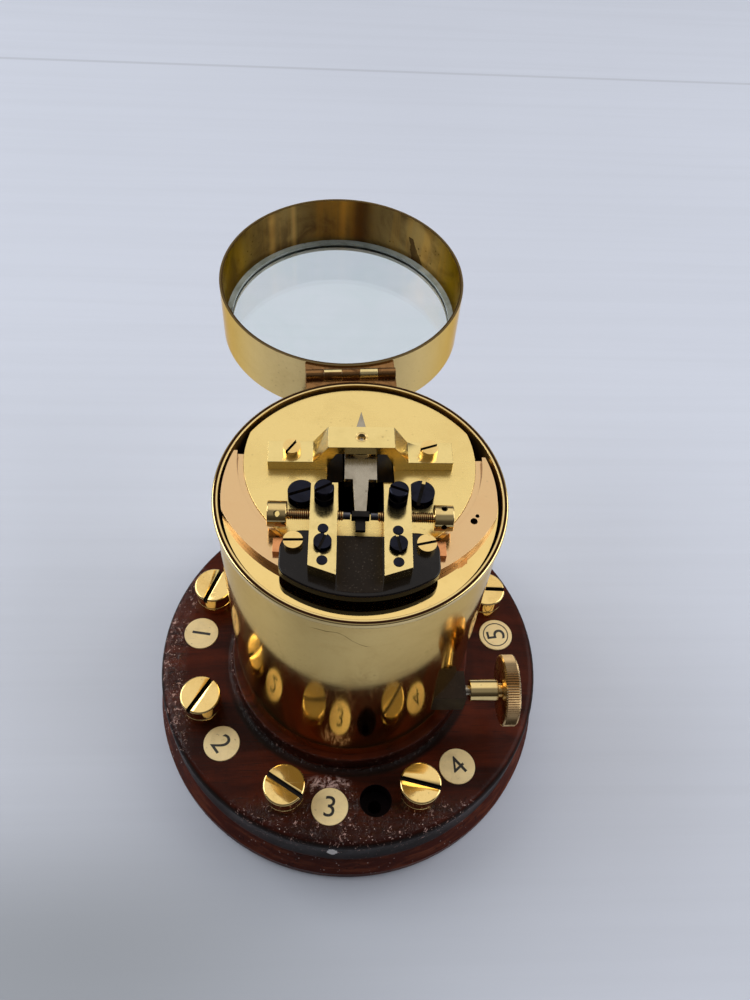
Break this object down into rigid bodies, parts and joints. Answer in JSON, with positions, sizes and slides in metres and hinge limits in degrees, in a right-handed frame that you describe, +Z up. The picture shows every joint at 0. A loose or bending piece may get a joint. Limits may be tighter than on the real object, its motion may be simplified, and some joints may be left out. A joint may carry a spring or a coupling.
{
  "type": "polarised telegraph relay",
  "caption": "Drum-cased polarised telegraph relay on a turned wooden base, with slotted screw terminals, side adjusting knob, contact carriage and hinged glazed lid.",
  "frame": {"origin": "centre of the round base's underside, where it stands on the bench", "axes": "+Z up along the case's axis, -Y to the front, +X to the adjusting knob, the lid hinge towards +Y"},
  "size_m": [0.165, 0.2293, 0.168],
  "materials": {
    "wood": "turned mahogany under worn glossy dark varnish",
    "ivory": "yellowed ivory-coloured discs, polished",
    "brass_bright": "polished and lacquered, lightly scratched",
    "brass_satin": "grained satin lacquered brass",
    "brass_dark": "unpolished brass, tarnished brown",
    "bronze": "pinkish gunmetal, lacquered",
    "ebonite": "black ebonite, dulled in places",
    "steel_bright": "plain steel, fine grain",
    "steel_blued": "heat blued steel",
    "iron_black": "soft iron, blackened",
    "iron_bright": "soft iron, bright",
    "magnet_steel": "hardened steel, dark lacquered",
    "winding_silk": "green silk covered copper wire, wound",
    "glass": "plate glass, bevelled and polished"
  },
  "bodies": {
    "relay_body": {"base": "wood", "label_discs": "ivory", "terminal_bushes": "brass_bright", "terminal_nuts": "brass_bright", "case": "brass_bright", "spindle_guide": "ebonite", "frame_plate": "brass_satin", "frame_screws": "brass_bright", "pillars": "brass_satin", "pillar_screws": "steel_bright", "deck_plate": "brass_satin", "main_plate": "brass_satin", "main_plate_screws": "steel_blued", "bridge": "brass_bright", "bridge_screws": "brass_bright", "axle_bearings": "brass_bright", "upper_poles": "iron_black", "lower_poles": "iron_black", "coil_cores": "iron_bright", "coil_bobbins": "ebonite", "coil_windings": "winding_silk", "permanent_magnet": "magnet_steel", "magnet_foot": "brass_satin", "magnet_shoes": "iron_black", "spindle_bracket": "brass_satin", "hinge_leaf_case": "brass_dark", "hinge_pin": "steel_bright"},
    "lid": {"lid_shell": "brass_bright", "lid_glass": "glass", "glass_ring": "brass_satin", "hinge_leaf_lid": "brass_dark"},
    "contact_carriage": {"carriage_plate": "bronze", "carriage_arm": "brass_satin", "carriage_nut": "brass_bright", "ebonite_block": "ebonite", "crossbar": "bronze", "block_screws": "brass_bright", "contact_bar_right": "brass_bright", "contact_bar_left": "brass_bright", "clamp_screws": "steel_blued", "bar_screws": "steel_blued", "bar_dowels": "steel_blued"},
    "armature": {"armature_axle": "steel_bright", "upper_armature": "iron_bright", "lower_armature": "iron_bright", "tongue": "steel_bright", "tongue_hub": "brass_bright", "tongue_contact": "iron_black"},
    "adjuster": {"adjusting_spindle": "steel_bright", "spindle_sleeve": "brass_bright", "adjusting_knob": "brass_bright"},
    "right_contact_screw": {"contact_screw_right": "brass_bright"},
    "left_contact_screw": {"contact_screw_left": "brass_bright"},
    "terminal_1": {"terminal_screw_1": "brass_bright"},
    "terminal_2": {"terminal_screw_2": "brass_bright"},
    "terminal_3": {"terminal_screw_3": "brass_bright"},
    "terminal_4": {"terminal_screw_4": "brass_bright"},
    "terminal_5": {"terminal_screw_5": "brass_bright"},
    "terminal_6": {"terminal_screw_6": "brass_bright"},
    "terminal_7": {"terminal_screw_7": "brass_bright"}
  },
  "joints": [
    {"name": "lid_hinge", "type": "hinge", "parent": "relay_body", "child": "lid", "pos_m": [-0.00263, 0.05023, 0.15365], "axis": [0.9986, 0.0523, 0], "range_deg": [0, 180]},
    {"name": "carriage_turn", "type": "hinge", "parent": "relay_body", "child": "contact_carriage", "pos_m": [0, 0.014, 0.152], "axis": [0, 0, 1], "range_deg": [-1.9, 1.9]},
    {"name": "armature_swing", "type": "hinge", "parent": "contact_carriage", "child": "armature", "pos_m": [0, 0.014, 0.1], "axis": [0, 0, 1], "range_deg": [-0.7, 0.7]},
    {"name": "knob_turn", "type": "hinge", "parent": "relay_body", "child": "adjuster", "pos_m": [0, -0.0302, 0.066], "axis": [1, 0, 0], "range_deg": [-720, 720]},
    {"name": "right_contact_turn", "type": "hinge", "parent": "contact_carriage", "child": "right_contact_screw", "pos_m": [0.01429, -0.01328, 0.1591], "axis": [0.9997, -0.0262, 0], "range_deg": [-180, 180]},
    {"name": "left_contact_turn", "type": "hinge", "parent": "contact_carriage", "child": "left_contact_screw", "pos_m": [-0.0157, -0.0125, 0.1591], "axis": [0.9997, -0.0262, 0], "range_deg": [-180, 180]},
    {"name": "terminal_1_turn", "type": "hinge", "parent": "relay_body", "child": "terminal_1", "pos_m": [-0.05842, 0.02687, 0.0396], "axis": [0, 0, 1], "range_deg": [-360, 360]},
    {"name": "terminal_2_turn", "type": "hinge", "parent": "relay_body", "child": "terminal_2", "pos_m": [-0.06011, -0.02283, 0.0396], "axis": [0, 0, 1], "range_deg": [-360, 360]},
    {"name": "terminal_3_turn", "type": "hinge", "parent": "relay_body", "child": "terminal_3", "pos_m": [-0.02595, -0.05883, 0.0396], "axis": [0, 0, 1], "range_deg": [-360, 360]},
    {"name": "terminal_4_turn", "type": "hinge", "parent": "relay_body", "child": "terminal_4", "pos_m": [0.02584, -0.05888, 0.0396], "axis": [0, 0, 1], "range_deg": [-360, 360]},
    {"name": "terminal_5_turn", "type": "hinge", "parent": "relay_body", "child": "terminal_5", "pos_m": [0.05923, 0.02502, 0.0396], "axis": [0, 0, 1], "range_deg": [-360, 360]},
    {"name": "terminal_6_turn", "type": "hinge", "parent": "relay_body", "child": "terminal_6", "pos_m": [0.02461, 0.0594, 0.0396], "axis": [0, 0, 1], "range_deg": [-360, 360]},
    {"name": "terminal_7_turn", "type": "hinge", "parent": "relay_body", "child": "terminal_7", "pos_m": [-0.02461, 0.0594, 0.0396], "axis": [0, 0, 1], "range_deg": [-360, 360]}
  ],
  "couplings": [
    {"joint": "carriage_turn", "follows": "knob_turn", "ratio": -0.0026286}
  ]
}
